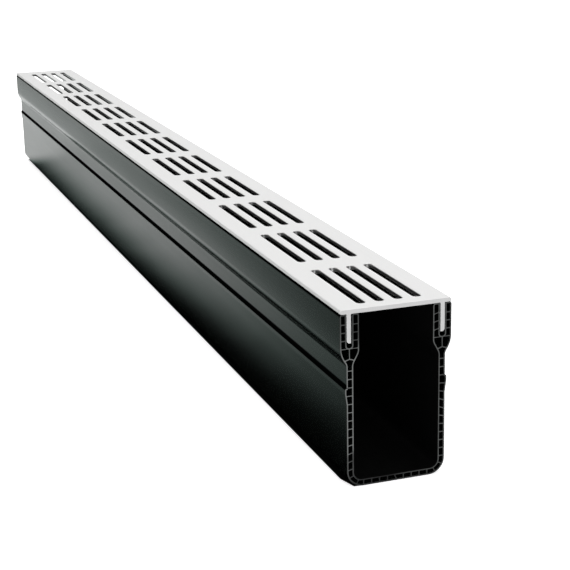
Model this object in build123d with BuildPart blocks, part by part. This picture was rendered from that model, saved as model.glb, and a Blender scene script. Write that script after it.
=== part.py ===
from build123d import *
import os

# Channel drain, one metre long: an extruded twin-wall plastic channel and the
# slotted grating that closes it.
# X runs across the drain, Y along it and Z up. The origin is the middle of the
# underside, and the end whose slots come closest to the edge is at -Y.
# The section is drawn for the half at +X and mirrored.

# Overall sizes, in millimetres
length = 1000.0
body_width = 64.0  # over the collars, and over the grating
channel_height = 97.5  # underside to rim

# Hollow walls of the channel: two skins tied together by webs
skin = 0.8
web = 0.6
cell_pitch = 4.7  # web to web, adjusted to fill each run evenly
wall = 3.9  # over both skins

# Trough
trough_width = 57.0
corner_radius = 9.2
inner_corner_radius = 4.6
corner_web_spread = 38.0  # angle between the two webs in each corner

# Collars: the thick rims, each with a groove for a leg of the grating
mouth_width = 42.4  # from collar to collar
rim_radius = 1.4  # towards the mouth
outer_rim_radius = 1.2
collar_below_groove = 2.8
taper_length = 6.4  # from the collar in to the wall of the trough
outer_taper_radius = 6.5
inner_taper_radius = 5.0
groove_offset = 0.1  # middle of the groove, outward of the middle of the collar
groove_draft = 0.15  # how far each side leans in towards the bottom
groove_floor_flat = 0.3
keel_drop = 6.2  # groove floor to the ridge where the webs below it meet
keel_fall = 0.7  # ridge to the foot of its two sloping webs

# Barbed rib outside the trough, which grips in the bedding
neck_length = 13.1  # end of the taper to the rib
neck_web_drop = 3.5  # end of the taper to the highest web of the wall
foot_web_rise = 1.0  # end of the corner to the lowest web of the wall
rib_height = 0.9
rib_lead = 0.25  # nearly level ledge on top
rib_crest = 2.85
rib_tail = 6.5  # long lower flank
rib_radius = 0.6

# Grating: a plate with two legs, and its fit in the grooves
plate_thickness = 2.5
plate_edge_flat = 0.1  # upright part of each side, between its roundings
plate_lower_radius = 0.7
leg_thickness = 2.4
leg_length = 16.1
leg_toe_flat = 0.7  # the rest of the leg's end is rounded outwards
leg_heel_radius = 0.4
leg_root_radius = 0.5
leg_clearance = 0.1  # to the outer side of the groove
leg_play = 0.5  # to the inner side
leg_headroom = 2.5  # to the groove floor

# Slots, in groups of parallel rows
slot_width = 5.0
slot_length = 72.0
slot_rows = 4
slot_row_pitch = 10.7
slot_group_pitch = 90.0
slot_margin = 8.0  # end of the grating to the first slots

# Sizes worked out from those above
rim = channel_height
half_body = body_width / 2
half_trough = trough_width / 2
half_mouth = mouth_width / 2
half_bore = half_trough - wall
corner_x = half_trough - corner_radius
collar_middle = (half_body + half_mouth) / 2
groove_width = leg_thickness + leg_clearance + leg_play + 2 * groove_draft
groove_middle = collar_middle + groove_offset
groove_inner = groove_middle - groove_width / 2
groove_outer = groove_middle + groove_width / 2
groove_floor = rim - leg_length - leg_headroom
groove_radius = (groove_width - 2 * groove_draft - groove_floor_flat) / 2
taper_head = groove_floor - collar_below_groove
taper_foot = taper_head - taper_length
keel = groove_floor - keel_drop
rib_top = taper_foot - neck_length
leg_outer = groove_outer - groove_draft - leg_clearance
leg_inner = leg_outer - leg_thickness
leg_end = rim - leg_length
plate_top = rim + plate_thickness
across = 2 * wall  # long enough for a web to cross its wall anywhere


def evenly(run, pitch):
    """Return how many equal cells of about one pitch fill a run, and their true pitch."""
    count = max(1, round(run / pitch))
    return count, run / count


# Outline of the section: outer surface, rim with its groove, inner surface
with BuildSketch() as outline:
    with BuildLine():
        FilletPolyline(
            (0, 0),
            (half_trough, 0),
            (half_trough, rib_top - rib_lead - rib_crest - rib_tail),
            (half_trough + rib_height, rib_top - rib_lead - rib_crest),
            (half_trough + rib_height, rib_top - rib_lead),
            (half_trough, rib_top),
            (half_trough, taper_foot),
            (half_body, taper_head),
            (half_body, rim),
            (groove_outer, rim),
            radius=[
                corner_radius,
                0,
                rib_radius,
                rib_radius,
                0,
                outer_taper_radius,
                outer_taper_radius,
                outer_rim_radius,
            ],
        )
        FilletPolyline(
            (groove_outer, rim),
            (groove_outer - groove_draft, groove_floor),
            (groove_inner + groove_draft, groove_floor),
            (groove_inner, rim),
            radius=groove_radius,
        )
        FilletPolyline(
            (groove_inner, rim),
            (half_mouth, rim),
            (half_mouth, taper_head),
            (half_bore, taper_foot),
            (half_bore, wall),
            (0, wall),
            radius=[rim_radius, inner_taper_radius, inner_taper_radius, inner_corner_radius],
        )
        mirror(about=Plane.YZ)
    make_face()

# Webs that cross the hollow core, each longer than the core is thick
with BuildSketch() as webs:
    side_top = taper_foot - neck_web_drop
    side_foot = corner_radius + foot_web_rise
    side_cells, side_pitch = evenly(side_top - side_foot, cell_pitch)
    with Locations((half_trough - wall / 2, (side_top + side_foot) / 2)):
        with GridLocations(0, side_pitch, 1, side_cells + 1):
            Rectangle(across, web)

    floor_cells, floor_pitch = evenly(corner_x, cell_pitch)
    with Locations((corner_x / 2, wall / 2)):
        with GridLocations(floor_pitch, 0, floor_cells + 1, 1):
            Rectangle(web, across)

    corner_start = -45 - corner_web_spread / 2
    with Locations((corner_x, corner_radius)):
        with PolarLocations(
            corner_radius - wall / 2, 2, corner_start, corner_web_spread, endpoint=True
        ):
            Rectangle(across, web)

    collar_cells, collar_pitch = evenly(rim - skin - groove_floor, cell_pitch)
    lowest_collar_web = groove_floor - skin / 2
    with Locations((collar_middle, lowest_collar_web + (collar_cells - 1) * collar_pitch / 2)):
        with GridLocations(0, collar_pitch, 1, collar_cells):
            Rectangle(half_body - half_mouth, web)

    with BuildLine():
        Line((groove_middle, groove_floor), (groove_middle, keel))
        Polyline((half_mouth, keel - keel_fall), (groove_middle, keel), (half_body, keel - keel_fall))
    trace(line_width=web)
    mirror(about=Plane.YZ)

# Hollow cells: what the skins and the webs leave of the core
with BuildSketch() as cells:
    add(outline.sketch)
    offset(amount=-skin)
    add(webs.sketch, mode=Mode.SUBTRACT)

with BuildPart() as channel:
    with BuildSketch(Plane.XZ):
        add(outline.sketch)
        add(cells.sketch, mode=Mode.SUBTRACT)
    extrude(amount=length / 2, both=True)

# Grating: the plate and its legs are one extrusion, slotted afterwards
slot_groups = 1 + int((length - 2 * slot_margin - slot_length) / slot_group_pitch)
slotted_length = (slot_groups - 1) * slot_group_pitch + slot_length

with BuildPart() as grating:
    with BuildSketch(Plane.XZ):
        with BuildLine():
            FilletPolyline(
                (0, rim),
                (leg_inner, rim),
                (leg_inner, leg_end),
                (leg_outer, leg_end),
                (leg_outer, rim),
                (half_body, rim),
                (half_body, plate_top),
                (0, plate_top),
                radius=[
                    leg_root_radius,
                    leg_heel_radius,
                    leg_thickness - leg_toe_flat,
                    0,
                    plate_lower_radius,
                    plate_thickness - plate_edge_flat - plate_lower_radius,
                ],
            )
            mirror(about=Plane.YZ)
        make_face()
    extrude(amount=length / 2, both=True)

    with BuildSketch(Plane.XY.offset(plate_top)):
        with Locations((0, slot_margin + slotted_length / 2 - length / 2)):
            with GridLocations(slot_row_pitch, slot_group_pitch, slot_rows, slot_groups):
                SlotOverall(slot_length, slot_width, rotation=90)
    extrude(amount=-plate_thickness, mode=Mode.SUBTRACT)

os.makedirs("parts", exist_ok=True)
for name, piece in (("channel", channel), ("grating", grating)):
    piece.part.label = name
    export_step(piece.part, f"parts/{name}.step")
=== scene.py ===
"""Looks of a one-metre channel drain: a twin-wall plastic channel closed by a slotted metal grating.

Both pieces are extrusions that are sawn to length. Each section is drawn flat, rounded and
pulled out along the drain, and each sawn end gets its broken edges and its own finish.
X runs across the drain, Y along it and Z up, in metres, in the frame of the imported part.
"""

import logging
import math
from collections.abc import Callable
from dataclasses import astuple, dataclass
from enum import Enum
from typing import Any

import bmesh
import bpy
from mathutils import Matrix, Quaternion, Vector


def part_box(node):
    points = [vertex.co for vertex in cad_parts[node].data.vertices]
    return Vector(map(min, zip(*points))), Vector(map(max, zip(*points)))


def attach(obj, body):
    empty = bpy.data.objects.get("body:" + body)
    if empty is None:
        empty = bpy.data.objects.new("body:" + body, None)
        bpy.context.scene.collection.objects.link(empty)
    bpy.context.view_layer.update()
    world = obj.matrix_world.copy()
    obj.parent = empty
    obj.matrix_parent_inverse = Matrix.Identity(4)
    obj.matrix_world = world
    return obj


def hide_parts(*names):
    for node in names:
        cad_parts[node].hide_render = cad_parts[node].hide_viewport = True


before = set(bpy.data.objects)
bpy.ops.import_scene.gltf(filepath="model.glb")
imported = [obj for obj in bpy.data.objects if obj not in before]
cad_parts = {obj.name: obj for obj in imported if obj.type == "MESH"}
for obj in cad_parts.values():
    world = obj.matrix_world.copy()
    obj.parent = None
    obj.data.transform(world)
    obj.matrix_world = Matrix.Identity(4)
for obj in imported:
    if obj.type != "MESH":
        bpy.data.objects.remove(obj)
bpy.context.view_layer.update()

MM = 0.001
UP = Vector((0.0, 0.0, 1.0))
ARC = 0.5  # the profile of a bevel that is an arc
SMOOTHEST = math.radians(30)  # the sharpest edge that is shaded smooth
log = logging.getLogger("channel_drain")

Triple = tuple[float, float, float]
Colour = Triple
WHITE: Colour = (1.0, 1.0, 1.0)
BLACK: Colour = (0.0, 0.0, 0.0)


class Element(Enum):
    """What a selection is made of, with the name of its list in a mesh under edit."""

    VERT = "verts"
    EDGE = "edges"
    FACE = "faces"


@dataclass(frozen=True)
class Corner:
    """A corner of a section.

    Args:
        x: Its place across the drain.
        z: Its height.
        radius: The radius of its rounding, or 0 where it stays sharp.
    """

    x: float
    z: float
    radius: float = 0.0

    def mirrored(self) -> "Corner":
        """Return the same corner on the other side of the drain."""
        return Corner(-self.x, self.z, self.radius)

    def place(self, y: float) -> Vector:
        """Return the corner's point in space, at y along the drain."""
        return Vector((self.x, y, self.z))


@dataclass
class Bench:
    """One mesh in edit mode, shaped with Blender's own operators as it would be by hand.

    Args:
        piece: The object that is being made.
        near: How close counts as the same place when something is looked for.
        doubles: How close points are merged.
    """

    piece: bpy.types.Object
    near: float = 0.01 * MM
    doubles: float = 0.002 * MM

    @staticmethod
    def release() -> None:
        """Leave edit mode and deselect everything."""
        if bpy.context.mode != "OBJECT":
            bpy.ops.object.mode_set(mode="OBJECT")
        bpy.ops.object.select_all(action="DESELECT")

    @classmethod
    def start(cls, name: str) -> "Bench":
        """Take the primitive that was just added onto the bench.

        Args:
            name: The piece's name.

        Returns:
            The bench, with the piece in edit mode.
        """
        piece = bpy.context.object
        piece.name = name
        piece.data.name = name
        return cls(piece).edit()

    def pick(self) -> None:
        """Select the piece, alone and active, outside edit mode."""
        self.release()
        self.piece.select_set(True)
        bpy.context.view_layer.objects.active = self.piece

    def edit(self) -> "Bench":
        """Put the piece alone into edit mode.

        Returns:
            The bench.
        """
        if self.piece.mode != "EDIT":
            self.pick()
            bpy.ops.object.mode_set(mode="EDIT")
        return self

    def mesh(self) -> bmesh.types.BMesh:
        """Return the mesh under edit."""
        return bmesh.from_edit_mesh(self.edit().piece.data)

    def select(self, element: Element, test: Callable[[Any], bool]) -> None:
        """Select exactly the elements that pass a test.

        Args:
            element: The kind of element.
            test: Says whether an element of the mesh under edit is wanted.
        """
        sheet = self.mesh()
        bpy.ops.mesh.select_mode(type=element.name)
        bpy.ops.mesh.select_all(action="DESELECT")
        for item in [item for item in getattr(sheet, element.value) if test(item)]:
            item.select_set(True)
        sheet.select_flush_mode()
        bmesh.update_edit_mesh(self.piece.data)

    def select_all(self, element: Element = Element.VERT) -> None:
        """Select the whole mesh.

        Args:
            element: The kind of element that is selected.
        """
        self.edit()
        bpy.ops.mesh.select_mode(type=element.name)
        bpy.ops.mesh.select_all(action="SELECT")

    def copy(self, name: str) -> "Bench":
        """Copy the piece together with its mesh.

        Args:
            name: The copy's name.

        Returns:
            A bench with the copy.
        """
        self.pick()
        bpy.ops.object.duplicate()
        return Bench.start(name)

    def join(self, other: "Bench") -> None:
        """Take another piece into this one.

        Args:
            other: The bench with that piece.
        """
        self.pick()
        other.piece.select_set(True)
        bpy.ops.object.join()
        self.edit()

    def close_shell(self) -> None:
        """Merge doubles, point the faces outwards and smooth all but the true edges."""
        self.select_all()
        bpy.ops.mesh.remove_doubles(threshold=self.doubles)
        bpy.ops.mesh.normals_make_consistent(inside=False)
        self.pick()
        bpy.ops.object.shade_smooth_by_angle(angle=SMOOTHEST)


@dataclass
class Section:
    """A flat section across the drain, drawn at one end and worked before it is pulled out.

    Args:
        bench: The bench with the section's mesh.
        y: Where along the drain it is drawn.
    """

    bench: Bench
    y: float

    @classmethod
    def drawn(cls, name: str, corners: list[Corner], y: float) -> "Section":
        """Draw a closed outline by extruding a point from corner to corner, and fill it.

        Args:
            name: The name of the piece.
            corners: The outline's corners in order, the last joined to the first.
            y: Where along the drain the outline stands.

        Returns:
            The section, its corners still sharp.
        """
        Bench.release()
        bpy.ops.mesh.primitive_plane_add(size=MM, location=corners[0].place(y))
        bpy.ops.object.transform_apply(location=True, rotation=True, scale=True)
        bench = Bench.start(name)
        bench.select_all()
        bpy.ops.mesh.merge(type="CENTER")
        for here, there in zip(corners, corners[1:]):
            step = there.place(y) - here.place(y)
            bpy.ops.mesh.extrude_region_move(TRANSFORM_OT_translate={"value": step})
        bench.select(Element.VERT, lambda v: len(v.link_edges) == 1)
        bpy.ops.mesh.edge_face_add()
        bench.select_all()
        bpy.ops.mesh.edge_face_add()
        return cls(bench, y)

    def round_corner(self, corner: Corner, arc_step: float = math.radians(7.5)) -> None:
        """Round one corner of a lone outline to its radius.

        Args:
            corner: The corner, as it was drawn.
            arc_step: About how far each piece of the arc turns.
        """
        place = corner.place(self.y)
        near = self.bench.near
        self.bench.select(Element.VERT, lambda v: (v.co - place).length < near)
        vertex = next(v for v in self.bench.mesh().verts if v.select)
        before, after = (edge.other_vert(vertex).co - vertex.co for edge in vertex.link_edges)
        turn = math.pi - before.angle(after)
        bpy.ops.mesh.bevel(
            offset=corner.radius * math.tan(turn / 2),
            segments=max(2, round(turn / arc_step)),
            profile=ARC,
            affect="VERTICES",
            clamp_overlap=False,
        )

    def inner(self, name: str, skin: float) -> "Section":
        """Return what is left inside a skin of even thickness.

        Args:
            name: The name of the inner section's piece.
            skin: The thickness of the skin.

        Returns:
            A section of its own. This one stays as it is.
        """
        core = self.bench.copy(name)
        core.select_all(Element.FACE)
        bpy.ops.mesh.inset(thickness=skin, depth=0.0, use_even_offset=True)
        bpy.ops.mesh.select_all(action="INVERT")
        bpy.ops.mesh.delete(type="FACE")
        return Section(core, self.y)

    @staticmethod
    def holds(face: bmesh.types.BMFace, x: float, z: float) -> bool:
        """Say whether a face of the section lies round a point.

        Args:
            face: The face.
            x: The point's place across the drain.
            z: The point's height.

        Returns:
            Whether an odd number of the face's edges pass on the point's right.
        """
        inside = False
        for edge in face.edges:
            first, second = (v.co for v in edge.verts)
            if (first.z > z) != (second.z > z):
                share = (z - first.z) / (second.z - first.z)
                if x < first.x + share * (second.x - first.x):
                    inside = not inside
        return inside

    def pick_around(self, x: float, z: float) -> None:
        """Select the face that lies round a point of the section."""
        self.bench.select(Element.FACE, lambda f: self.holds(f, x, z))

    def split(self, x: float, z: float, thickness: float, lean: float) -> None:
        """Cut the face round a point along both sides of a web through it.

        Args:
            x: The web's middle, across the drain.
            z: The web's middle, upwards.
            thickness: The web's thickness.
            lean: The angle from level at which the web runs.
        """
        across = Vector((-math.sin(lean), 0.0, math.cos(lean)))
        middle = Vector((x, self.y, z))
        for side in (-1, 1):
            self.pick_around(x, z)
            edge = middle + across * (side * thickness / 2)
            bpy.ops.mesh.bisect(plane_co=edge, plane_no=across)

    def drop(self, x: float, z: float) -> None:
        """Delete the face that lies round a point of the section."""
        self.pick_around(x, z)
        bpy.ops.mesh.delete(type="FACE")

    def cut_web(self, x: float, z: float, thickness: float, lean: float) -> None:
        """Take a web out of the cells: split them on both sides of it, and drop its face."""
        self.split(x, z, thickness, lean)
        self.drop(x, z)

    def soften(self, reach: float, least_turn: float = math.radians(40), segments: int = 3) -> None:
        """Round each sharp corner of the section's loose faces a little.

        Args:
            reach: How far back from the corner the rounding starts.
            least_turn: The turn above which a corner counts as sharp.
            segments: How many pieces each rounding has.
        """

        def is_sharp(vertex: bmesh.types.BMVert) -> bool:
            """Say whether the outline turns sharply at a vertex."""
            sides = [edge.other_vert(vertex).co - vertex.co for edge in vertex.link_edges]
            return len(sides) == 2 and math.pi - sides[0].angle(sides[1]) > least_turn

        self.bench.select(Element.VERT, is_sharp)
        bpy.ops.mesh.bevel(offset=reach, segments=segments, profile=ARC, affect="VERTICES")

    def pierce(self, cells: "Section") -> None:
        """Leave the cells open in this section, and fill what is round them.

        Args:
            cells: The cells, which are joined to this section.
        """
        self.bench.join(cells.bench)
        self.bench.select_all(Element.FACE)
        bpy.ops.mesh.delete(type="ONLY_FACE")
        self.bench.select_all(Element.EDGE)
        bpy.ops.mesh.fill(use_beauty=True)

    def pull(self, length: float, edge_break: float) -> Bench:
        """Pull the section out along the drain, and break the edges of both sawn ends.

        Args:
            length: The length over both ends.
            edge_break: How far the sawn edges are broken, along and across.

        Returns:
            The bench with the closed shell.
        """
        self.bench.select_all(Element.FACE)
        run = length - 2 * edge_break
        bpy.ops.mesh.extrude_region_move(TRANSFORM_OT_translate={"value": (0, run, 0)})
        self.bench.select_all()
        bpy.ops.mesh.normals_make_consistent(inside=False)
        for end in (self.y, self.y + run):
            self.bench.select(
                Element.FACE,
                lambda f, end=end: all(abs(v.co.y - end) < self.bench.near for v in f.verts),
            )
            bpy.ops.mesh.inset(thickness=edge_break, depth=edge_break, use_even_offset=True)
        return self.bench


@dataclass(frozen=True)
class Ease:
    """A smooth change from one level to another.

    Args:
        start: Where the change begins.
        stop: Where it ends.
        low: The level before it.
        high: The level after it.
    """

    start: float
    stop: float
    low: float = 0.0
    high: float = 1.0


@dataclass(frozen=True)
class Pattern:
    """A pattern of soft noise.

    Args:
        scale: Its cycles a metre along each axis.
        detail: How many finer layers it has.
        roughness: How strong those layers are.
    """

    scale: Triple
    detail: float = 2.0
    roughness: float = 0.5


class Value:
    """One output of a material's nodes. Arithmetic on it adds Math nodes."""

    def __init__(self, paint: "Paint", socket: bpy.types.NodeSocket) -> None:
        """Wrap a socket of a paint."""
        self.paint = paint
        self.socket = socket

    def maths(self, operation: str, *inputs: "Value | float") -> "Value":
        """Return the result of a Math node on values or numbers."""
        return self.paint.add("ShaderNodeMath", {"operation": operation}, dict(enumerate(inputs)))

    def __add__(self, other: "Value | float") -> "Value":
        """Return self + other."""
        return self.maths("ADD", self, other)

    def __sub__(self, other: "Value | float") -> "Value":
        """Return self - other."""
        return self.maths("SUBTRACT", self, other)

    def __rsub__(self, other: float) -> "Value":
        """Return other - self."""
        return self.maths("SUBTRACT", other, self)

    def __mul__(self, other: "Value | float") -> "Value":
        """Return self * other."""
        return self.maths("MULTIPLY", self, other)

    def __abs__(self) -> "Value":
        """Return the size of self."""
        return self.maths("ABSOLUTE", self)

    __radd__ = __add__
    __rmul__ = __mul__


class Paint:
    """A material whose nodes are added from Python."""

    def __init__(self, name: str, shader: str = "ShaderNodeBsdfPrincipled") -> None:
        """Start a material with one shader, linked to its output.

        Args:
            name: The material's name.
            shader: The shader's type.
        """
        self.material = bpy.data.materials.new(name)
        self.material.use_nodes = True
        self.nodes = self.material.node_tree.nodes
        self.nodes.clear()
        self.shader = self.nodes.new(shader)
        self.output = self.nodes.new("ShaderNodeOutputMaterial")
        self.feed(self.output.inputs["Surface"], Value(self, self.shader.outputs[0]))
        self.here = Value(self, self.nodes.new("ShaderNodeTexCoord").outputs["Object"])

    def feed(self, socket: bpy.types.NodeSocket, given: Any) -> None:
        """Give an input socket what feeds it.

        Args:
            socket: The socket.
            given: A value to link to it, or a number or vector to set.
        """
        if isinstance(given, Value):
            self.material.node_tree.links.new(given.socket, socket)
        else:
            socket.default_value = given

    def add(
        self, kind: str, settings: dict[str, Any], inputs: dict[int | str, Any], output: int | str = 0
    ) -> Value:
        """Add any node.

        Args:
            kind: The node's type.
            settings: Its own settings, which are set first.
            inputs: A value, number or vector for each input that is used, by index or name.
            output: The output to return.

        Returns:
            That output's value.
        """
        node = self.nodes.new(kind)
        for name, setting in settings.items():
            setattr(node, name, setting)
        for name, given in inputs.items():
            self.feed(node.inputs[name], given)
        return Value(self, node.outputs[output])

    def set(self, **inputs: Any) -> None:
        """Set or link the shader's own sockets, their names written with underscores."""
        for name, given in inputs.items():
            self.feed(self.shader.inputs[name.replace("_", " ")], given)

    def cover(self, share: Value, **inputs: Any) -> None:
        """Lay a second shader of the same kind over the first.

        Args:
            share: How much of the second shader shows, from 0 to 1.
            inputs: The second shader's own sockets, as for set.
        """
        first = self.shader
        self.shader = self.nodes.new(first.bl_idname)
        self.set(**inputs)
        shaders = {1: Value(self, first.outputs[0]), 2: Value(self, self.shader.outputs[0])}
        both = self.add("ShaderNodeMixShader", {}, {0: share, **shaders})
        self.feed(self.output.inputs["Surface"], both)

    def stretched(self, scale: Triple) -> Value:
        """Return the object's coordinates scaled along each axis."""
        return self.add("ShaderNodeVectorMath", {"operation": "MULTIPLY"}, {0: self.here, 1: scale})

    def noise(self, pattern: Pattern) -> Value:
        """Add soft noise.

        Args:
            pattern: Its pattern.

        Returns:
            The noise, from 0 to 1.
        """
        inputs = {
            "Vector": self.stretched(pattern.scale),
            "Scale": 1.0,
            "Detail": pattern.detail,
            "Roughness": pattern.roughness,
        }
        return self.add("ShaderNodeTexNoise", {"noise_dimensions": "3D"}, inputs)

    def beside(self, x: float, z: float) -> Value:
        """Return the distance across the drain from a line along it."""
        inputs = {0: self.stretched((1.0, 0.0, 1.0)), 1: (x, 0.0, z)}
        return self.add("ShaderNodeVectorMath", {"operation": "DISTANCE"}, inputs, output="Value")

    def axis(self, name: str) -> Value:
        """Return one of the object's coordinates, X, Y or Z."""
        return self.add("ShaderNodeSeparateXYZ", {}, {"Vector": self.here}, name)

    def ease(self, value: Value, change: Ease) -> Value:
        """Return the level of a smooth change at a value."""
        inputs = dict(enumerate((value, *astuple(change))))
        return self.add("ShaderNodeMapRange", {"interpolation_type": "SMOOTHSTEP"}, inputs)

    def blend(self, factor: Value, first: "Value | Colour", second: "Value | Colour") -> Value:
        """Blend two colours.

        Args:
            factor: The share of the second colour.
            first: The first colour.
            second: The second colour.

        Returns:
            The colour between them.
        """
        ends = [end if isinstance(end, Value) else (*end, 1.0) for end in (first, second)]
        # The node's sockets for colours follow those for numbers and vectors, under the same names.
        inputs = {0: factor, 6: ends[0], 7: ends[1]}
        return self.add("ShaderNodeMix", {"data_type": "RGBA"}, inputs, output=2)

    def relief(self, height: Value, depth: float, strength: float = 1.0) -> Value:
        """Return the normal of a surface raised by height times depth."""
        inputs = {"Height": height, "Distance": depth, "Strength": strength}
        return self.add("ShaderNodeBump", {}, inputs)


@dataclass(frozen=True)
class Finish:
    """A surface whose colour and roughness change with fine marks and soft clouds."""

    name: str
    first: Colour
    second: Colour
    marks: Pattern
    cloud: Pattern
    roughness: float
    mark_depth: float
    mark_strength: float = 0.5
    mark_share: float = 0.6
    rougher_marks: float = 0.0
    rougher_cloud: float = 0.0
    metallic: float = 0.0
    ior: float = 1.5

    def colour(self, paint: Paint, clean: Value) -> Value:
        """Return the colour of the surface, given that of the clean material."""
        return clean

    def material(self) -> bpy.types.Material:
        """Make the material.

        Returns:
            The marked and clouded material.
        """
        paint = Paint(self.name)
        marks = paint.noise(self.marks)
        cloud = paint.noise(self.cloud)
        shading = marks * self.mark_share + cloud * (1 - self.mark_share)
        paint.set(
            Base_Color=self.colour(paint, paint.blend(shading, self.first, self.second)),
            Metallic=self.metallic,
            Roughness=self.roughness + marks * self.rougher_marks + cloud * self.rougher_cloud,
            IOR=self.ior,
            Normal=paint.relief(marks, self.mark_depth, self.mark_strength),
        )
        return paint.material


@dataclass(frozen=True)
class InnerPlastic(Finish):
    """The black plastic inside the trough, left dull where no die sizes it."""

    name: str = "dull_black_plastic"
    first: Colour = (0.0008, 0.0008, 0.0008)
    second: Colour = (0.0018, 0.0019, 0.0019)
    marks: Pattern = Pattern((700.0, 2.0, 700.0), detail=3.0)
    cloud: Pattern = Pattern((150.0, 40.0, 150.0), detail=3.0)
    mark_share: float = 0.0
    roughness: float = 0.65
    rougher_marks: float = 0.15
    mark_depth: float = 0.01 * MM
    ior: float = 1.12


@dataclass(frozen=True)
class ExtrudedPlastic:
    """Glossy black plastic as it leaves the die, with faint lines and waves drawn out along it.

    Shade is painted in two places by a darker, rough cover without reflections: just
    above the rib, and on the rounded rim under the plate.
    """

    name: str = "extruded_black_plastic"
    dark: Colour = (0.0010, 0.0015, 0.0013)
    bloom: Colour = (0.0024, 0.0034, 0.0030)
    # the colours of the painted shade above the rib and on the rim
    painted_shade_dark: Colour = (0.0003, 0.0004, 0.0004)
    painted_shade_bloom: Colour = (0.0010, 0.0012, 0.0011)
    lines: Pattern = Pattern((500.0, 1.5, 500.0))
    drift: Pattern = Pattern((60.0, 5.0, 60.0), detail=3.0)
    haze: Pattern = Pattern((220.0, 90.0, 220.0), detail=4.0, roughness=0.6)
    waves: Pattern = Pattern((40.0, 9.0, 40.0), detail=1.0)
    ior: float = 1.5
    roughness: float = 0.14
    rougher_drift: float = 0.07
    rougher_lines: float = 0.05
    rougher_haze: float = 0.03
    line_height: float = 0.003
    wave_height: float = 0.15
    taper: float = 73.0 * MM
    taper_polish: Ease = Ease(2.0 * MM, 5.0 * MM, 0.7, 1.0)
    ledge_fall: float = 0.0012
    ledge_foot: Ease = Ease(55.05 * MM, 55.45 * MM)
    ledge_head: Ease = Ease(57.7 * MM, 58.6 * MM, 1.0, 0.0)
    rim: Ease = Ease(95.9 * MM, 96.7 * MM)
    painted_shade_roughness: float = 0.7
    painted_shade_haze: float = 0.2

    def painted_shade_places(self, paint: Paint, height: Value) -> Value:
        """Find where shade is painted.

        Args:
            paint: The paint of the material.
            height: The height, from that paint.

        Returns:
            The share of painted shade, on the ledge above the rib and on the rim.
        """
        level = height + paint.axis("Y") * self.ledge_fall
        ledge = paint.ease(level, self.ledge_foot) * paint.ease(level, self.ledge_head)
        return ledge + paint.ease(height, self.rim)

    def material(self) -> bpy.types.Material:
        """Make the material.

        Returns:
            The glossy plastic, with the painted shade over it in its places.
        """
        paint = Paint(self.name)
        lines = paint.noise(self.lines)
        drift = paint.noise(self.drift)
        haze = paint.noise(self.haze)
        waves = paint.noise(self.waves)
        height = paint.axis("Z")
        polish = paint.ease(abs(height - self.taper), self.taper_polish)
        rougher = drift * self.rougher_drift + lines * self.rougher_lines + haze * self.rougher_haze
        paint.set(
            Base_Color=paint.blend(haze, self.dark, self.bloom),
            Roughness=(self.roughness + rougher) * polish,
            IOR=self.ior,
            Normal=paint.relief(lines * self.line_height + waves * self.wave_height, MM),
        )
        # painted shade: a darker, rough cover without reflections above the rib and on the rim
        paint.cover(
            self.painted_shade_places(paint, height),
            Base_Color=paint.blend(haze, self.painted_shade_dark, self.painted_shade_bloom),
            Roughness=self.painted_shade_roughness + haze * self.painted_shade_haze,
            Specular_IOR_Level=0.0,
        )
        return paint.material


@dataclass(frozen=True)
class ShadeSpot:
    """A darker spot of painted shade on the sawn ends.

    Args:
        x: Its middle, across the drain.
        z: Its middle, upwards.
        fade: The share of the grey and painted light that is left, by the distance from its middle.
    """

    x: float
    z: float
    fade: Ease


@dataclass(frozen=True)
class SawnPlastic:
    """The same plastic where it is sawn: greyed by the blade, with painted light brighter towards the
    left and painted shade near the bottom and in darker spots.
    """

    name: str = "sawn_black_plastic"
    burnished: Colour = (0.004, 0.0045, 0.0045)
    greyed: Colour = (0.128, 0.133, 0.1305)
    teeth: Pattern = Pattern((160.0, 1.0, 2600.0))
    grain: Pattern = Pattern((3200.0, 1.0, 3200.0), detail=3.0, roughness=0.7)
    smears: Pattern = Pattern((130.0, 1.0, 90.0), detail=1.0)
    smearing: Ease = Ease(0.38, 0.58, 0.7, 1.0)
    # painted light brighter towards the left, and painted shade near the bottom
    light_from_left: Ease = Ease(-34.0 * MM, 45.0 * MM, 1.45, 0.25)
    rise: Ease = Ease(0.5 * MM, 11.0 * MM, 0.3, 1.0)
    shade_spots: tuple[ShadeSpot, ...] = (
        ShadeSpot(-14 * MM, 2 * MM, Ease(5 * MM, 38 * MM, 0.10)),
        ShadeSpot(-5 * MM, 3 * MM, Ease(2 * MM, 6 * MM, 0.05)),
        ShadeSpot(-24 * MM, 17 * MM, Ease(1 * MM, 7 * MM, 0.35)),
        ShadeSpot(-24 * MM, 94 * MM, Ease(6 * MM, 34 * MM, 0.18)),
    )
    least_greying: float = 0.55
    grey_teeth: float = 0.7
    grey_grain: float = 0.55
    sheen: float = 0.15
    roughness: float = 0.5
    rougher_grain: float = 0.2
    grain_height: float = 0.5
    tooth_depth: float = 0.02 * MM
    tooth_strength: float = 0.6

    def material(self) -> bpy.types.Material:
        """Make the material.

        Returns:
            The greyed plastic.
        """
        paint = Paint(self.name)
        teeth = paint.noise(self.teeth)
        grain = paint.noise(self.grain)
        smears = paint.ease(paint.noise(self.smears), self.smearing)
        # painted light and shade over the blade's grey: brighter towards the left, darker near the
        # bottom and in the shade spots
        across = paint.ease(paint.axis("X"), self.light_from_left) * paint.ease(paint.axis("Z"), self.rise)
        marks = self.least_greying + teeth * self.grey_teeth + grain * self.grey_grain
        greying_and_light = across * smears * marks
        for shade_spot in self.shade_spots:
            greying_and_light = greying_and_light * paint.ease(paint.beside(shade_spot.x, shade_spot.z), shade_spot.fade)
        paint.set(
            Base_Color=paint.blend(greying_and_light, self.burnished, self.greyed),
            Roughness=self.roughness + grain * self.rougher_grain,
            Specular_IOR_Level=self.sheen,
            Normal=paint.relief(
                teeth + grain * self.grain_height, self.tooth_depth, self.tooth_strength
            ),
        )
        return paint.material


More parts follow.
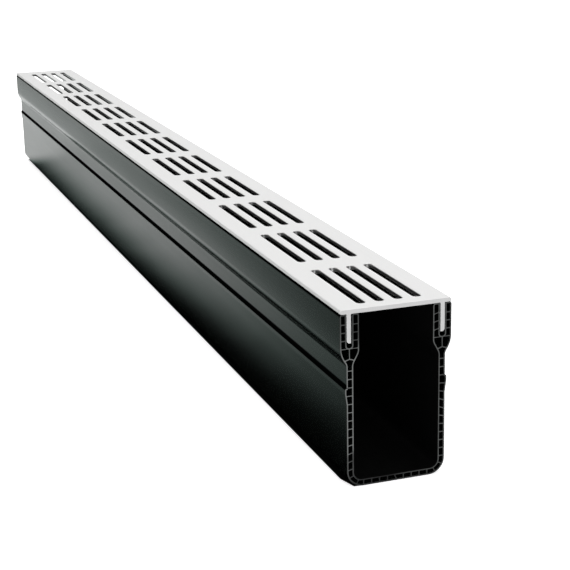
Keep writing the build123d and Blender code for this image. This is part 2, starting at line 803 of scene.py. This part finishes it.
@dataclass(frozen=True)
class MilledAluminium(Finish):
    """Bright aluminium on the walls of the slots, with the cutter's upright marks."""

    name: str = "milled_aluminium"
    first: Colour = (0.62, 0.62, 0.62)
    second: Colour = (0.48, 0.48, 0.48)
    marks: Pattern = Pattern((1800.0, 1800.0, 60.0))
    cloud: Pattern = Pattern((120.0, 120.0, 400.0))
    roughness: float = 0.28
    rougher_cloud: float = 0.10
    mark_depth: float = 0.008 * MM
    metallic: float = 1.0


@dataclass(frozen=True)
class SawnAluminium(Finish):
    """Bare aluminium where it is sawn, scored across by the blade."""

    name: str = "sawn_aluminium"
    first: Colour = (0.56, 0.56, 0.555)
    second: Colour = (0.46, 0.46, 0.46)
    marks: Pattern = Pattern((240.0, 1.0, 3600.0), detail=3.0, roughness=0.65)
    cloud: Pattern = Pattern((300.0, 1.0, 300.0))
    mark_share: float = 0.7
    roughness: float = 0.45
    rougher_marks: float = 0.12
    mark_depth: float = 0.01 * MM
    mark_strength: float = 0.6
    metallic: float = 0.6


@dataclass(frozen=True)
class SatinAluminium(Finish):
    """Pale anodised aluminium with fine lines drawn out along it, and painted shade low on its sides
    where it meets the rims.
    """

    name: str = "satin_anodised_aluminium"
    first: Colour = (0.79, 0.79, 0.785)
    second: Colour = (0.74, 0.74, 0.735)
    marks: Pattern = Pattern((2600.0, 4.0, 2600.0), detail=3.0, roughness=0.6)
    cloud: Pattern = Pattern((70.0, 30.0, 70.0), detail=3.0)
    roughness: float = 0.42
    rougher_marks: float = 0.10
    rougher_cloud: float = 0.05
    mark_depth: float = 0.006 * MM
    metallic: float = 0.5
    # painted shade: near-black colour low on the plate's sides, where the joint with the rims is in
    # shade
    joint_shade: Colour = (0.05, 0.05, 0.05)
    joint: Ease = Ease(97.9 * MM, 98.5 * MM, 1.0, 0.0)
    side: Ease = Ease(30.0 * MM, 31.0 * MM)

    def colour(self, paint: Paint, clean: Value) -> Value:
        """Return the metal's colour, with painted shade low on both sides along the joint with the
        rims.
        """
        joint_shade_share = paint.ease(paint.axis("Z"), self.joint) * paint.ease(abs(paint.axis("X")), self.side)
        return paint.blend(joint_shade_share, clean, self.joint_shade)


@dataclass
class Extrusion:
    """What both pieces share: how they are finished and put in place of their node.

    Args:
        node: The node that the piece stands for.
        slot: The material slot of that node, not used.
        edge_break: How far the edges of its sawn ends are broken.
    """

    node: str
    slot: str
    edge_break: float

    def __post_init__(self) -> None:
        """Look up the lowest and the highest corner of the node's bounds."""
        self.low, self.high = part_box(self.node)

    @property
    def top(self) -> float:
        """Return the height of the piece's highest face."""
        return self.high.z

    @property
    def side(self) -> float:
        """Return half the width over the piece."""
        return (self.high.x - self.low.x) / 2

    @property
    def length(self) -> float:
        """Return the length over both sawn ends."""
        return self.high.y - self.low.y

    def half_outline(self) -> list[Corner]:
        """Return the corners of the half at +X, which each piece has of its own."""
        raise NotImplementedError

    def outline(self, name: str) -> tuple[Section, list[Corner]]:
        """Draw the piece's outline, both halves of it.

        Args:
            name: The name of the piece.

        Returns:
            The section, its corners still sharp, and those corners.
        """
        half = self.half_outline()
        corners = half + [corner.mirrored() for corner in reversed(half)]
        return Section.drawn(name, corners, self.low.y + self.edge_break), corners

    @staticmethod
    def is_sawn(face: bmesh.types.BMFace, tilt: float = math.radians(25)) -> bool:
        """Say whether a face is on one of the sawn ends, and not on their broken edges."""
        return abs(face.normal.y) > math.cos(tilt)

    def dress(self, bench: Bench, material: bpy.types.Material, where: Callable[[Any], bool]) -> None:
        """Give the faces that pass a test a finish.

        Args:
            bench: The bench with the closed shell.
            material: The finish.
            where: Says whether a face has it.
        """
        piece = bench.piece
        piece.data.materials.append(material)
        bench.select(Element.FACE, where)
        piece.active_material_index = len(piece.data.materials) - 1
        bpy.ops.object.material_slot_assign()
        bench.release()

    def install(self, bench: Bench) -> None:
        """Put a piece in place of its node.

        Args:
            bench: The bench with the finished piece.
        """
        piece = bench.piece
        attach(piece, "root")
        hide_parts(self.node)
        triangles = sum(len(face.vertices) - 2 for face in piece.data.polygons)
        log.info("%s: %d triangles, stands for %s", piece.name, triangles, self.node)


@dataclass(frozen=True)
class Lean:
    """How the webs of one wall lean where the hot section sagged.

    Args:
        most: The largest angle, positive where the webs rise towards +X.
        height: Where along the wall they lean most.
        spread: How fast the lean dies away above and below.
    """

    most: float
    height: float
    spread: float

    def at(self, z: float) -> float:
        """Return the angle at a height."""
        return self.most * math.exp(-(((z - self.height) / self.spread) ** 2))


@dataclass
class Channel(Extrusion):
    """The black channel: two skins tied by webs, with a grooved collar along each rim."""

    node: str = "channel"
    slot: str = "channel_plastic"
    skin: float = 0.8 * MM
    web: float = 0.6 * MM
    cell_pitch: float = 4.7 * MM
    floor_pitch: float = 4.66 * MM
    floor_middle: float = -0.3 * MM
    wall: float = 3.9 * MM
    half_trough: float = 28.5 * MM
    corner_radius: float = 9.2 * MM
    inner_corner_radius: float = 4.6 * MM
    corner_web_angles: tuple[float, float] = (math.radians(-26), math.radians(-64))
    half_mouth: float = 21.2 * MM
    rim_radius: float = 1.4 * MM
    outer_rim_radius: float = 1.2 * MM
    taper_head: float = 76.1 * MM
    taper_foot: float = 69.7 * MM
    outer_taper_head: float = 75.2 * MM
    outer_taper_foot: float = 69.5 * MM
    taper_head_radius: float = 12.0 * MM
    taper_foot_radius: float = 3.5 * MM
    inner_taper_radius: float = 5.0 * MM
    groove_width: float = 3.3 * MM
    groove_offset: float = 0.1 * MM
    groove_draft: float = 0.15 * MM
    groove_floor: float = 78.9 * MM
    groove_radius: float = 1.35 * MM
    keel: float = 72.7 * MM
    keel_fall: float = 0.7 * MM
    neck_web_drop: float = 3.5 * MM
    foot_web_rise: float = 1.0 * MM
    rib_top: float = 56.6 * MM
    rib_height: float = 0.9 * MM
    rib_lead: float = 0.25 * MM
    rib_crest: float = 2.85 * MM
    rib_tail: float = 6.5 * MM
    rib_radius: float = 0.6 * MM
    web_root_radius: float = 0.3 * MM
    edge_break: float = 0.12 * MM
    collar_lean: float = math.radians(16)
    floor_lean: float = math.radians(24)
    left_lean: Lean = Lean(math.radians(17), 14 * MM, 14 * MM)
    right_lean: Lean = Lean(math.radians(-22), 40 * MM, 11 * MM)

    @property
    def groove_middle(self) -> float:
        """Return the middle of a groove, across the drain."""
        return (self.side + self.half_mouth) / 2 + self.groove_offset

    def half_outline(self) -> list[Corner]:
        """List the corners of the half at +X.

        Returns:
            The corners, from the underside round to the inside.
        """
        rib_side = self.half_trough + self.rib_height
        rib_shoulder = self.rib_top - self.rib_lead
        bore = self.half_trough - self.wall
        outer = self.groove_middle + self.groove_width / 2
        inner = self.groove_middle - self.groove_width / 2
        return [
            Corner(self.half_trough, 0.0, self.corner_radius),
            Corner(self.half_trough, rib_shoulder - self.rib_crest - self.rib_tail),
            Corner(rib_side, rib_shoulder - self.rib_crest, self.rib_radius),
            Corner(rib_side, rib_shoulder, self.rib_radius),
            Corner(self.half_trough, self.rib_top),
            Corner(self.half_trough, self.outer_taper_foot, self.taper_foot_radius),
            Corner(self.side, self.outer_taper_head, self.taper_head_radius),
            Corner(self.side, self.top, self.outer_rim_radius),
            Corner(outer, self.top),
            Corner(outer - self.groove_draft, self.groove_floor, self.groove_radius),
            Corner(inner + self.groove_draft, self.groove_floor, self.groove_radius),
            Corner(inner, self.top),
            Corner(self.half_mouth, self.top, self.rim_radius),
            Corner(self.half_mouth, self.taper_head, self.inner_taper_radius),
            Corner(bore, self.taper_foot, self.inner_taper_radius),
            Corner(bore, self.wall, self.inner_corner_radius),
        ]

    def cut_floor_webs(self, cells: Section) -> None:
        """Cut the webs of the floor, the middle one last, and then those of the corners.

        Args:
            cells: The cells.
        """
        reach = self.half_trough - self.corner_radius
        count = round(reach / self.floor_pitch)
        level = self.wall / 2
        upright = math.pi / 2
        for side in (-1, 1):
            for number in range(1, count + 1):
                x = self.floor_middle + side * number * self.floor_pitch
                cells.cut_web(x, level, self.web, upright)
        cells.cut_web(self.floor_middle, level, self.web, upright + self.floor_lean)
        for side in (-1, 1):
            for angle in self.corner_web_angles:
                out = self.corner_radius - level
                x = side * (reach + out * math.cos(angle))
                z = self.corner_radius + out * math.sin(angle)
                cells.cut_web(x, z, self.web, side * angle)

    def cut_wall_webs(self, cells: Section) -> None:
        """Cut the webs of both walls, from the corner up to the neck.

        Args:
            cells: The cells.
        """
        foot = self.corner_radius + self.foot_web_rise
        run = self.taper_foot - self.neck_web_drop - foot
        count = round(run / self.cell_pitch)
        middle = self.half_trough - self.wall / 2
        for side, lean in ((-1, self.left_lean), (1, self.right_lean)):
            for number in range(count + 1):
                z = foot + number * run / count
                cells.cut_web(side * middle, z, self.web, lean.at(z))

    def cut_collar_webs(self, cells: Section) -> None:
        """Cut the webs beside each groove, then those that part the hollow below it.

        Args:
            cells: The cells.
        """
        height = self.top - self.skin - self.groove_floor
        count = round(height / self.cell_pitch)
        inner = (self.half_mouth + self.groove_middle - self.groove_width / 2) / 2
        outer = (self.side + self.groove_middle + self.groove_width / 2) / 2
        lowest = self.groove_floor - self.skin / 2
        crook = self.keel - self.keel_fall
        for side in (-1, 1):
            for number in range(count):
                z = lowest + number * height / count
                lean = self.collar_lean if side > 0 and number > 0 else 0.0
                cells.cut_web(side * inner, z, self.web, lean)
                cells.cut_web(side * outer, z, self.web, 0.0)
            x = side * self.groove_middle
            cells.split(x, crook, self.web, 0.0)
            cells.cut_web(x, (crook + lowest) / 2, self.web, math.pi / 2)
            self.raise_keel(cells, x, crook)

    def raise_keel(self, cells: Section, x: float, crook: float) -> None:
        """Drop the level web below a groove, and lift the middle of the cells' edges beside it.

        Args:
            cells: The cells.
            x: The middle of the groove.
            crook: The height of that web.
        """
        bench = cells.bench
        cells.drop(x, crook)
        below = crook - self.web / 2
        near = bench.near

        def is_top_of_neck(edge: bmesh.types.BMEdge) -> bool:
            """Say whether an edge closes the top of the cell in the neck.

            Args:
                edge: The edge.

            Returns:
                Whether it is level there, close to the groove's middle.
            """
            first, second = (v.co for v in edge.verts)
            level = abs(first.z - below) < near and abs(second.z - below) < near
            return level and abs((first.x + second.x) / 2 - x) < self.wall

        bench.select(Element.EDGE, is_top_of_neck)
        bpy.ops.mesh.subdivide(number_cuts=1)
        bench.select(
            Element.VERT,
            lambda v: abs(v.co.x - x) < 2 * self.web and abs(v.co.z - crook) < 2 * self.web,
        )
        bpy.ops.transform.translate(value=(0.0, 0.0, self.keel_fall))

    def is_inside(self, face: bmesh.types.BMFace) -> bool:
        """Say whether a face is on the trough's side of the channel.

        Args:
            face: The face.

        Returns:
            Whether it lines the trough or stands over it.
        """
        middle = face.calc_center_median()
        near = self.skin / 8
        return abs(middle.x) < self.half_trough - self.wall + near and middle.z > self.wall - near

    def build(self) -> None:
        """Model and dress the channel, and put it in place."""
        outline, corners = self.outline("channel_profile")
        # The cells follow only the roundings that are wider than the skin.
        for corner in corners:
            if corner.radius > self.skin:
                outline.round_corner(corner)
        cells = outline.inner("channel_cells", self.skin)
        for corner in corners:
            if 0 < corner.radius <= self.skin:
                outline.round_corner(corner)
        self.cut_floor_webs(cells)
        self.cut_wall_webs(cells)
        self.cut_collar_webs(cells)
        cells.soften(self.web_root_radius)
        outline.pierce(cells)
        bench = outline.pull(self.length, self.edge_break)
        bench.close_shell()
        self.dress(bench, ExtrudedPlastic().material(), lambda f: True)
        self.dress(bench, InnerPlastic().material(), self.is_inside)
        self.dress(bench, SawnPlastic().material(), self.is_sawn)
        self.install(bench)


@dataclass
class Grating(Extrusion):
    """The pale cover: a plate with a leg along each side, and groups of parallel slots."""

    node: str = "grating"
    slot: str = "grating_metal"
    plate_thickness: float = 2.5 * MM
    plate_upper_radius: float = 1.45 * MM
    plate_lower_radius: float = 0.95 * MM
    leg_outer: float = 28.1 * MM
    leg_thickness: float = 2.4 * MM
    leg_toe_radius: float = 1.7 * MM
    leg_heel_radius: float = 0.4 * MM
    leg_root_radius: float = 0.5 * MM
    slot_width: float = 5.0 * MM
    slot_length: float = 72.0 * MM
    slot_rows: int = 4
    slot_groups: int = 11
    slot_row_pitch: float = 10.7 * MM
    slot_group_pitch: float = 90.0 * MM
    slot_margin: float = 8.0 * MM
    slot_sides: int = 34
    rim_break: float = 0.3 * MM
    edge_break: float = 0.18 * MM

    @property
    def underside(self) -> float:
        """Return the height of the plate's lower face."""
        return self.top - self.plate_thickness

    def half_outline(self) -> list[Corner]:
        """List the corners of the half at +X.

        Returns:
            The corners, from the underside round to the upper face.
        """
        leg_inner = self.leg_outer - self.leg_thickness
        foot = self.low.z
        return [
            Corner(leg_inner, self.underside, self.leg_root_radius),
            Corner(leg_inner, foot, self.leg_heel_radius),
            Corner(self.leg_outer, foot, self.leg_toe_radius),
            Corner(self.leg_outer, self.underside),
            Corner(self.side, self.underside, self.plate_lower_radius),
            Corner(self.side, self.top, self.plate_upper_radius),
        ]

    def slot_wall(self) -> Bench:
        """Model the wall of the first slot: a short tube pulled long, with broken rims.

        Returns:
            The bench with the wall.
        """
        radius = self.slot_width / 2
        straight = self.slot_length - self.slot_width
        x = -(self.slot_rows - 1) / 2 * self.slot_row_pitch
        y = self.low.y + self.slot_margin + radius
        first = Vector((x, y, (self.top + self.underside) / 2))
        Bench.release()
        bpy.ops.mesh.primitive_cylinder_add(
            vertices=self.slot_sides,
            radius=radius,
            depth=self.plate_thickness,
            end_fill_type="NOTHING",
            location=first,
        )
        bpy.ops.object.transform_apply(location=True, rotation=True, scale=True)
        bench = Bench.start("slot_walls")
        for level in (self.underside + self.rim_break, self.top - self.rim_break):
            bench.select_all()
            bpy.ops.mesh.bisect(plane_co=(0, 0, level), plane_no=UP)
        reach = self.plate_thickness / 2 - self.rim_break / 2
        bench.select(Element.VERT, lambda v: abs(v.co.z - first.z) > reach)
        flare = 1 + self.rim_break / radius
        bpy.ops.transform.resize(value=(flare, flare, 1), center_override=first)
        bench.select(Element.VERT, lambda v: v.co.y > first.y)
        bpy.ops.transform.translate(value=(0, straight, 0))
        bench.release()
        return bench

    def repeat_slots(self, bench: Bench) -> None:
        """Repeat the first slot's wall across and along the plate.

        Args:
            bench: The bench with that wall.
        """
        bench.pick()
        for name, count, step in (
            ("rows", self.slot_rows, (self.slot_row_pitch, 0, 0)),
            ("groups", self.slot_groups, (0, self.slot_group_pitch, 0)),
        ):
            array = bench.piece.modifiers.new(name, "ARRAY")
            array.count = count
            array.use_relative_offset = False
            array.use_constant_offset = True
            array.constant_offset_displace = step
            bpy.ops.object.modifier_apply(modifier=name)

    def open_slots(self, plate: Bench, slots: Bench) -> None:
        """Replace the plate's two broad faces by faces that are open at the slots.

        Args:
            plate: The bench with the closed plate.
            slots: The bench with the walls of all the slots.
        """
        near = plate.near
        levels = (self.top, self.underside)
        leg_inner = self.leg_outer - self.leg_thickness

        def is_broad(face: bmesh.types.BMFace) -> bool:
            """Say whether a face is one of the plate's two broad ones."""
            level = any(all(abs(v.co.z - z) < near for v in face.verts) for z in levels)
            return level and abs(face.calc_center_median().x) < leg_inner / 2

        plate.select(Element.FACE, is_broad)
        bpy.ops.mesh.delete(type="ONLY_FACE")
        plate.join(slots)
        for z in levels:
            plate.select(
                Element.EDGE,
                lambda e, z=z: len(e.link_faces) < 2 and all(abs(v.co.z - z) < near for v in e.verts),
            )
            bpy.ops.mesh.fill(use_beauty=True)

    def is_slot_wall(self, face: bmesh.types.BMFace, tilt: float = math.radians(30)) -> bool:
        """Say whether a face is on the upright wall of a slot, and not on its broken rims."""
        inside = abs(face.calc_center_median().x) < self.leg_outer - 2 * self.leg_thickness
        return inside and abs(face.normal.z) < math.sin(tilt)

    def build(self) -> None:
        """Model and dress the grating, and put it in place."""
        outline, corners = self.outline("grating_cover")
        for corner in corners:
            if corner.radius > 0:
                outline.round_corner(corner)
        plate = outline.pull(self.length, self.edge_break)
        slots = self.slot_wall()
        self.repeat_slots(slots)
        self.open_slots(plate, slots)
        plate.close_shell()
        self.dress(plate, SatinAluminium().material(), lambda f: True)
        self.dress(plate, SawnAluminium().material(), self.is_sawn)
        self.dress(plate, MilledAluminium().material(), self.is_slot_wall)
        self.install(plate)


@dataclass(frozen=True)
class Camera:
    """The photograph's camera, with its lens and sensor in millimetres.

    It looks by its bearing from +Y towards +X and by its dip below level, and is turned by its
    roll about its own axis.
    """

    place: Triple = (-0.2951, -1.1694, 0.3219)
    bearing: float = math.radians(19.23)
    dip: float = math.radians(16.10)
    roll: float = math.radians(-1.17)
    lens: float = 91.91
    sensor: float = 36.0
    clip: tuple[float, float] = (0.01, 100.0)

    def build(self) -> None:
        """Stand the camera and make it the scene's."""
        data = bpy.data.cameras.new("camera")
        data.lens = self.lens
        data.sensor_width = self.sensor
        data.clip_start, data.clip_end = self.clip
        camera = bpy.data.objects.new("camera", data)
        bpy.context.scene.collection.objects.link(camera)
        level = math.cos(self.dip)
        ahead = (math.sin(self.bearing) * level, math.cos(self.bearing) * level, -math.sin(self.dip))
        camera.location = self.place
        camera.rotation_mode = "QUATERNION"
        turn = Quaternion(UP, self.roll)
        camera.rotation_quaternion = Vector(ahead).to_track_quat("-Z", "Y") @ turn
        bpy.context.scene.camera = camera


@dataclass(frozen=True)
class Floor:
    """The pale floor, with a painted contact shadow: black under the drain but for a slant at its left
    near corner.
    """

    half: float = 12.0
    cuts: int = 7
    cloud: Pattern = Pattern((3.0, 3.0, 3.0))
    pale: Colour = (0.93, 0.93, 0.93)
    paler: Colour = (0.95, 0.95, 0.95)
    shaded: Colour = (0.002, 0.002, 0.002)
    roughness: float = 0.8
    glow: float = 0.5
    left: Ease = Ease(-26.9 * MM, -26.0 * MM)
    left_slant: float = 0.0024
    right: Ease = Ease(18.0 * MM, 19.2 * MM, 1.0, 0.0)
    corner: Ease = Ease(-591.0 * MM, -588.0 * MM)
    corner_slant: float = 3.7
    front: Ease = Ease(-499.8 * MM, -499.0 * MM)
    back: Ease = Ease(496.0 * MM, 499.5 * MM, 1.0, 0.0)

    def contact_shade(self, paint: Paint) -> Value:
        """Find where the contact shadow is painted black on the floor.

        Args:
            paint: The floor's paint.

        Returns:
            The share of black.
        """
        across = paint.axis("X")
        along = paint.axis("Y")
        sides = paint.ease(across - along * self.left_slant, self.left) * paint.ease(across, self.right)
        corner = paint.ease(along + across * self.corner_slant, self.corner)
        return sides * corner * paint.ease(along, self.front) * paint.ease(along, self.back)

    def build(self) -> None:
        """Lay the floor."""
        Bench.release()
        bpy.ops.mesh.primitive_plane_add(size=2 * self.half)
        bench = Bench.start("floor")
        bench.select_all()
        bpy.ops.mesh.subdivide(number_cuts=self.cuts)
        bench.release()
        paint = Paint("pale_floor")
        pale = paint.blend(paint.noise(self.cloud), self.pale, self.paler)
        # painted contact shadow: the floor is black under the drain
        shade = self.contact_shade(paint)
        paint.set(
            Base_Color=paint.blend(shade, pale, self.shaded),
            Roughness=self.roughness,
            Emission_Color=paint.blend(shade, WHITE, BLACK),
            Emission_Strength=self.glow,
        )
        bench.piece.data.materials.append(paint.material)
        bench.piece.visible_glossy = False


@dataclass(frozen=True)
class Card:
    """A flat glowing card that only shows in reflections.

    Args:
        name: The card's name.
        size: Its two sides.
        middle: Where its middle is.
        facing: The way it faces.
        glow: How bright it is.
    """

    name: str
    size: tuple[float, float]
    middle: Triple
    facing: Triple
    glow: float

    def material(self) -> bpy.types.Material:
        """Make the material.

        Returns:
            Even white light.
        """
        paint = Paint(self.name, "ShaderNodeEmission")
        paint.set(Color=(*WHITE, 1.0), Strength=self.glow)
        return paint.material

    def build(self) -> None:
        """Stand the card where it shows in reflections and nowhere else."""
        Bench.release()
        bpy.ops.mesh.primitive_plane_add(size=1.0)
        bench = Bench.start(self.name)
        bench.select_all()
        bpy.ops.transform.resize(value=(*self.size, 1.0))
        bench.pick()
        card = bench.piece
        card.rotation_mode = "QUATERNION"
        card.rotation_quaternion = UP.rotation_difference(Vector(self.facing))
        card.location = self.middle
        bpy.ops.object.transform_apply(location=True, rotation=True, scale=True)
        card.data.materials.append(self.material())
        for ray in ("camera", "diffuse", "shadow", "transmission", "volume_scatter"):
            setattr(card, f"visible_{ray}", False)


@dataclass(frozen=True)
class Reflector(Card):
    """The graded card beside the drain that its side reflects.

    It brightens away from the near end, is dark in the drain's own shade up to the far end,
    and falls off away from the drain.
    """

    facing: Triple = (0.0, 0.0, 1.0)
    glow: float = 2.0
    level: float = 0.5
    near: Ease = Ease(-0.646, 0.024, 0.13, 1.0)
    near_slant: float = 1.2
    far: Ease = Ease(0.48, 0.62, 0.0, 0.4)
    far_gap: Ease = Ease(0.066, 0.080)
    past_end: Ease = Ease(0.452, 0.522)
    shade: Ease = Ease(0.040, 0.084)
    shade_drift: Ease = Ease(-0.45, 0.1, -0.0085, 0.003)
    shade_lift: Ease = Ease(-0.2, 0.2, 0.0, 0.035)
    ripple: Pattern = Pattern((40.0, 14.0, 1.0))
    ripple_width: float = 8.0 * MM
    fall: Ease = Ease(0.066, 0.13, 1.0, 0.33)
    lift: Ease = Ease(0.126, 0.152, 0.0, 0.22)
    lift_start: Ease = Ease(0.12, 0.45)
    tinting: Ease = Ease(0.0, 0.8)
    dim_tint: Colour = (0.74, 1.0, 0.90)
    bright_tint: Colour = (0.965, 1.0, 0.985)

    def material(self) -> bpy.types.Material:
        """Make the material.

        Returns:
            The graded light.
        """
        paint = Paint(self.name, "ShaderNodeEmission")
        away = abs(paint.axis("X"))
        along = paint.axis("Y")
        near = paint.ease(along - away * self.near_slant, self.near)
        far = paint.ease(along, self.far) * paint.ease(away, self.far_gap)
        past_end = paint.ease(along, self.past_end)
        edge = away + paint.ease(along, self.shade_drift) + paint.noise(self.ripple) * self.ripple_width
        clear = paint.ease(edge, self.shade) + paint.ease(along, self.shade_lift)
        fall = paint.ease(away, self.fall)
        lift = paint.ease(away, self.lift) * paint.ease(along, self.lift_start)
        lit = (near + far * fall) * (past_end + (1 - past_end) * clear) * (fall + lift)
        tint = paint.blend(paint.ease(lit, self.tinting), self.dim_tint, self.bright_tint)
        paint.set(Color=paint.blend(lit * self.level, BLACK, tint), Strength=self.glow)
        return paint.material


@dataclass(frozen=True)
class Studio:
    """A pale floor, soft light, and the camera of the photograph.

    The reflectors lie on both sides of the drain. The flag beside it blackens its ledges, and
    the backdrop behind it dims the far end of the plate.
    """

    camera: Camera = Camera()
    sky_strength: float = 1.12
    floor: Floor = Floor()
    cards: tuple[Card, ...] = (
        Reflector("reflector_left", (1.4, 3.8), (-0.7, 1.4, 0.2 * MM)),
        Reflector("reflector_right", (1.4, 3.8), (0.7, 1.4, 0.2 * MM)),
        Card("flag_left", (0.52, 3.9), (-0.30, 1.25, 0.26), (1.0, 0.0, 0.0), 0.08),
        Card("backdrop", (2.4, 0.5), (1.0, 2.2, 0.26), (0.0, -1.0, 0.0), 0.15),
    )

    def sky(self) -> None:
        """Surround the scene with even white light."""
        world = bpy.data.worlds.new("sky")
        world.use_nodes = True
        background = world.node_tree.nodes["Background"]
        background.inputs["Color"].default_value = (*WHITE, 1.0)
        background.inputs["Strength"].default_value = self.sky_strength
        bpy.context.scene.world = world

    def build(self) -> None:
        """Set up the camera, the floor and the light."""
        self.camera.build()
        self.sky()
        self.floor.build()
        for card in self.cards:
            card.build()
        bpy.context.scene.view_settings.view_transform = "Standard"
        log.info("studio: floor, sky and %d cards", len(self.cards))


def main() -> None:
    """Build the studio and both pieces."""
    logging.basicConfig(level=logging.INFO, format="%(name)s %(message)s")
    Studio().build()
    for part in (Channel(), Grating()):
        part.build()


if __name__ == "__main__":
    main()
